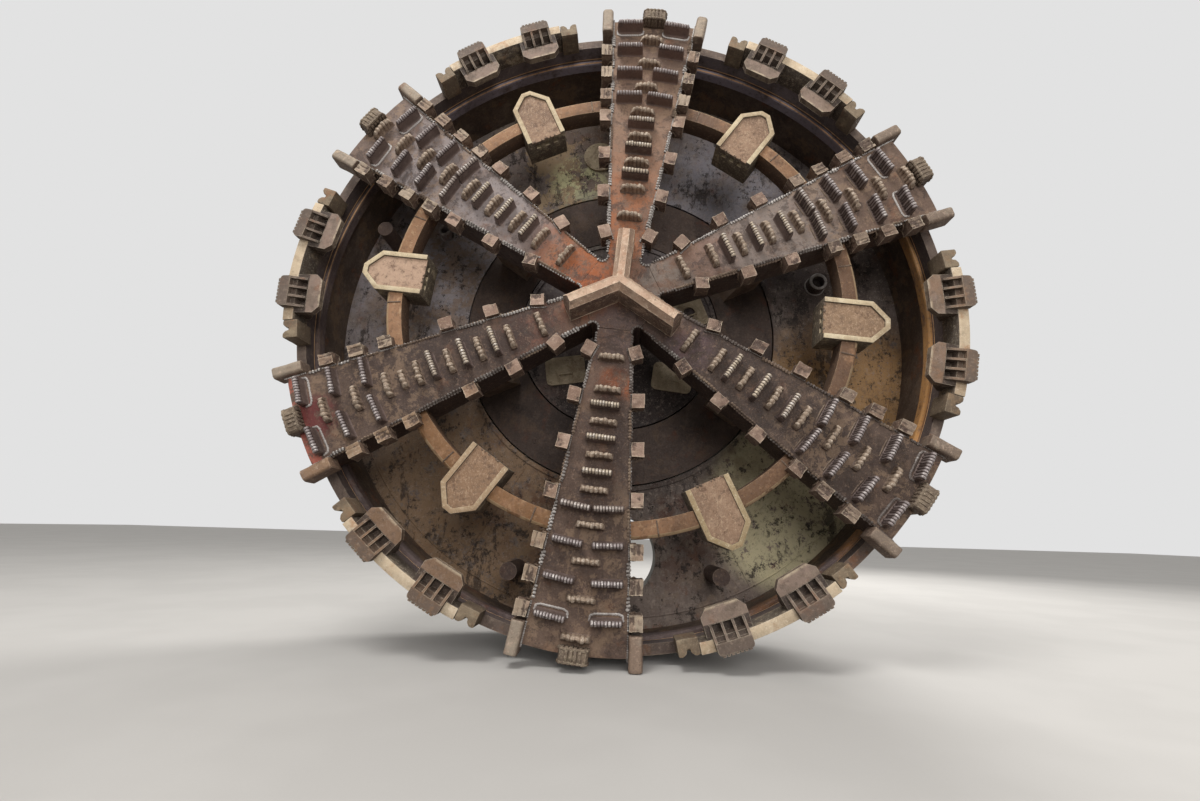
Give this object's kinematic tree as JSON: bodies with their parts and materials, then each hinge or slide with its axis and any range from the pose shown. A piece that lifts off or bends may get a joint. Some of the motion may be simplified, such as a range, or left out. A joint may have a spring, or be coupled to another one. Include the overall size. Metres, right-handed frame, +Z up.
{
  "type": "tunnel boring machine cutterhead with front shield section",
  "caption": "Spoke cutterhead of a soft-ground tunnel boring machine that turns freely on the drive ring of its front shield section.",
  "frame": {"origin": "centre of the rear joint face of the front shield section", "axes": "+Y along the machine axis, out of the rear joint face; the cutting face looks towards -Y; +Z up"},
  "size_m": [6.2226, 1.955, 6.263],
  "materials": {
    "muddy_steel": "matt, coated with dried mud",
    "rusty_steel": "orange rust",
    "worn_rim": "worn",
    "pale_rim": "worn bright edge",
    "bare_block": "matt, dusty",
    "pale_frame": "worn cream edge",
    "box_plate": "scratched",
    "worn_tan": "worn",
    "hard_tooth": "satin hard metal",
    "tan_tooth": "dusty",
    "pink_block": "worn, dusty",
    "dark_steel": "dark, muddy",
    "skin_steel": "dark, muddy",
    "beige_plate": "matt",
    "rear_grey": "matt primer"
  },
  "bodies": {
    "front_section": {"shield_skin": "skin_steel", "front_wear_ring": "worn_rim", "bulkhead": "dark_steel", "centre_disc": "dark_steel", "seam_rings": "dark_steel", "access_hatches": "beige_plate", "bulkhead_ports": "dark_steel", "mixing_bars": "muddy_steel", "bearing_housing": "rear_grey", "drive_covers": "rear_grey", "spoil_port": "rear_grey", "rear_webs": "rear_grey", "rear_flange": "rear_grey"},
    "cutterhead": {"hub_plate": "rusty_steel", "spoke_1": "muddy_steel", "spoke_2": "muddy_steel", "spoke_3": "muddy_steel", "spoke_4": "muddy_steel", "spoke_5": "muddy_steel", "spoke_6": "muddy_steel", "rim_ring": "worn_rim", "rim_bands": "pale_rim", "rim_end_blocks": "bare_block", "gauge_blocks_a": "bare_block", "gauge_blocks_b": "bare_block", "mid_ring": "muddy_steel", "sector_boxes": "pale_frame", "sector_box_plates": "box_plate", "centre_blades": "worn_tan", "tall_teeth_p": "hard_tooth", "tall_teeth_q": "hard_tooth", "low_teeth_p": "tan_tooth", "low_teeth_q": "tan_tooth", "edge_teeth": "tan_tooth", "scrapers_p": "pink_block", "scrapers_q": "pink_block", "scraper_tips_p": "hard_tooth", "scraper_tips_q": "hard_tooth", "gauge_scrapers": "pink_block", "spoke_legs": "dark_steel", "drive_ring": "dark_steel", "centre_pipe": "dark_steel"}
  },
  "joints": [
    {"name": "cutterhead_turn", "type": "hinge", "parent": "front_section", "child": "cutterhead", "pos_m": [0, 0, 0], "axis": [0, 1, 0], "continuous": true}
  ]
}
